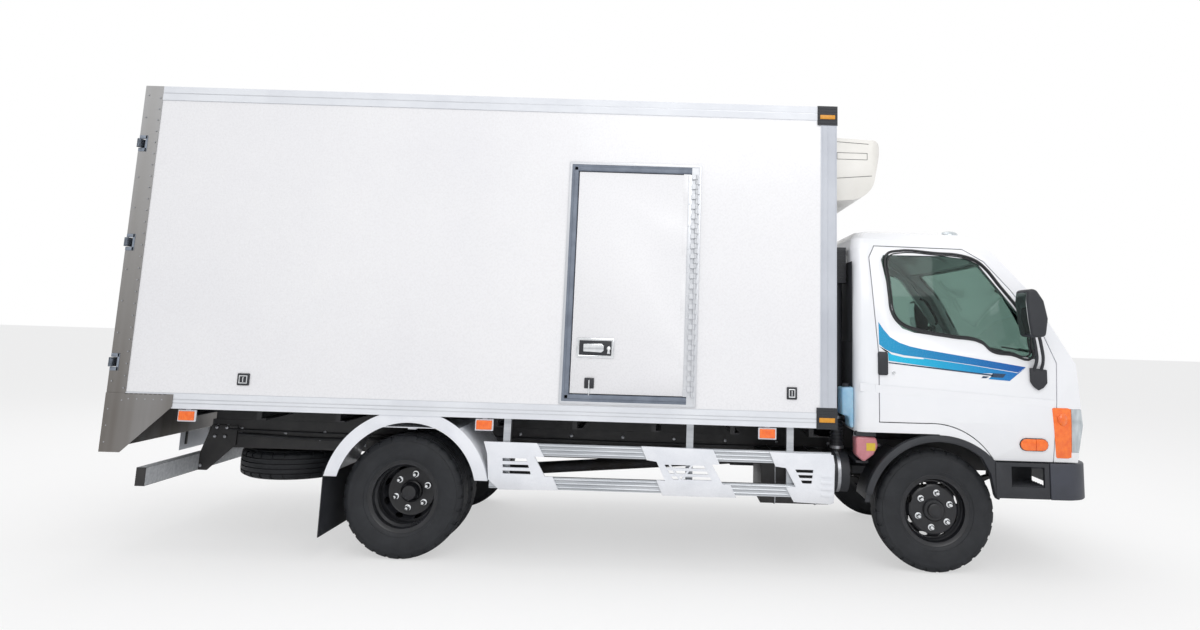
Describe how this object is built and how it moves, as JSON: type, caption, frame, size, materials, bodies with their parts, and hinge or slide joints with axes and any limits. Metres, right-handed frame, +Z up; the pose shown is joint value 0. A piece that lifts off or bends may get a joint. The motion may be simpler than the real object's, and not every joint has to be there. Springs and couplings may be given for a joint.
{
  "type": "refrigerated truck",
  "caption": "Light refrigerated truck with forward-control cab, insulated box, nose-mounted cooling unit, twin rear wheels, and opening cab, side and rear doors.",
  "frame": {"origin": "on the ground under the middle of the truck's length, on its centre plane", "axes": "+X towards the front of the truck, +Y to its left side, +Z up"},
  "size_m": [6.2598, 2.4554, 2.969],
  "materials": {
    "frame_paint": "black chassis paint",
    "box_skin": "white coated panel",
    "floor_deck": "non-slip grey floor",
    "white_trim": "white powder coat",
    "cap_plastic": "moulded black plastic",
    "stainless": "brushed stainless sheet",
    "lamp_orange": "clear orange lens",
    "door_gasket": "slate rubber profile",
    "engine_metal": "bare casting",
    "black_plastic": "grained black plastic",
    "tank_metal": "black painted steel",
    "guard_aluminium": "ribbed extrusion",
    "guard_cover": "white coated sheet",
    "cab_paint": "white gloss paint",
    "cab_glazing": "tinted safety glass",
    "lamp_clear": "clear lens",
    "seat_cloth": "dark woven cloth",
    "bottle_plastic": "translucent moulded plastic",
    "rim_paint": "black wheel paint",
    "tyre": "rubber with road tread"
  },
  "bodies": {
    "truck": {"chassis_frame": "frame_paint", "box_bearers": "frame_paint", "box_floor": "floor_deck", "box_panels": "box_skin", "box_edge_rails": "white_trim", "corner_caps": "cap_plastic", "rear_frame": "stainless", "body_lamps": "lamp_orange", "side_door_frame": "door_gasket", "cooling_unit": "white_trim", "front_axle": "frame_paint", "rear_axle": "frame_paint", "leaf_springs": "frame_paint", "driveline": "engine_metal", "exhaust": "engine_metal", "battery_box": "black_plastic", "fuel_tank": "tank_metal", "spare_wheel": "tyre", "underrun_guard": "frame_paint", "rear_fenders": "guard_cover", "mudflaps": "black_plastic", "guard_rails": "guard_aluminium", "guard_covers": "guard_cover", "headlamps": "lamp_clear", "cab_shell": "cab_paint", "cab_glass": "cab_glazing", "front_bumper": "black_plastic", "entry_steps": "black_plastic", "beacon": "lamp_clear", "dashboard": "black_plastic", "seats": "seat_cloth", "steering_wheel": "black_plastic", "front_fenders": "black_plastic", "air_intake": "black_plastic", "fluid_bottles": "bottle_plastic", "front_grille": "black_plastic"},
    "left_knuckle": {"left_knuckle": "frame_paint"},
    "right_knuckle": {"right_knuckle": "frame_paint"},
    "tie_rod": {"tie_rod": "frame_paint"},
    "front_left_wheel": {"front_left_rim": "rim_paint", "front_left_tyre": "tyre"},
    "front_right_wheel": {"front_right_rim": "rim_paint", "front_right_tyre": "tyre"},
    "rear_left_wheels": {"rear_left_rims": "rim_paint", "rear_left_tyres": "tyre"},
    "rear_right_wheels": {"rear_right_rims": "rim_paint", "rear_right_tyres": "tyre"},
    "left_cab_door": {"left_door": "cab_paint", "left_door_glass": "cab_glazing", "left_mirror": "black_plastic"},
    "right_cab_door": {"right_door": "cab_paint", "right_door_glass": "cab_glazing", "right_mirror": "black_plastic"},
    "rear_left_door": {"rear_left_door": "box_skin"},
    "rear_right_door": {"rear_right_door": "box_skin"},
    "side_door": {"side_door": "box_skin"}
  },
  "joints": [
    {"name": "steer_left", "type": "hinge", "parent": "truck", "child": "left_knuckle", "pos_m": [2.115, 0.69, 0.38], "axis": [0, 0, 1], "range_deg": [-30, 30]},
    {"name": "steer_right", "type": "hinge", "parent": "truck", "child": "right_knuckle", "pos_m": [2.115, -0.69, 0.38], "axis": [0, 0, 1], "range_deg": [-30, 30]},
    {"name": "tie_rod_swing", "type": "hinge", "parent": "left_knuckle", "child": "tie_rod", "pos_m": [1.975, 0.69, 0.3037], "axis": [0, 0, 1], "range_deg": [-30, 30]},
    {"name": "front_left_spin", "type": "hinge", "parent": "left_knuckle", "child": "front_left_wheel", "pos_m": [2.115, 0.78, 0.38], "axis": [0, 1, 0], "continuous": true},
    {"name": "front_right_spin", "type": "hinge", "parent": "right_knuckle", "child": "front_right_wheel", "pos_m": [2.115, -0.78, 0.38], "axis": [0, 1, 0], "continuous": true},
    {"name": "rear_left_spin", "type": "hinge", "parent": "truck", "child": "rear_left_wheels", "pos_m": [-1.27, 0.73, 0.38], "axis": [0, 1, 0], "continuous": true},
    {"name": "rear_right_spin", "type": "hinge", "parent": "truck", "child": "rear_right_wheels", "pos_m": [-1.27, -0.73, 0.38], "axis": [0, 1, 0], "continuous": true},
    {"name": "left_cab_door_hinge", "type": "hinge", "parent": "truck", "child": "left_cab_door", "pos_m": [2.875, 0.99, 1.2], "axis": [0, 0, -1], "range_deg": [0, 70]},
    {"name": "right_cab_door_hinge", "type": "hinge", "parent": "truck", "child": "right_cab_door", "pos_m": [2.875, -0.99, 1.2], "axis": [0, 0, 1], "range_deg": [0, 70]},
    {"name": "rear_left_door_hinge", "type": "hinge", "parent": "truck", "child": "rear_left_door", "pos_m": [-3.118, 1.071, 1.9], "axis": [0, 0, -1], "range_deg": [0, 270]},
    {"name": "rear_right_door_hinge", "type": "hinge", "parent": "truck", "child": "rear_right_door", "pos_m": [-3.118, -1.071, 1.9], "axis": [0, 0, 1], "range_deg": [0, 270]},
    {"name": "side_door_hinge", "type": "hinge", "parent": "truck", "child": "side_door", "pos_m": [0.531, -1.069, 1.75], "axis": [0, 0, 1], "range_deg": [0, 180]}
  ],
  "couplings": [
    {"joint": "steer_right", "follows": "steer_left", "ratio": 1},
    {"joint": "tie_rod_swing", "follows": "steer_left", "ratio": -1}
  ]
}
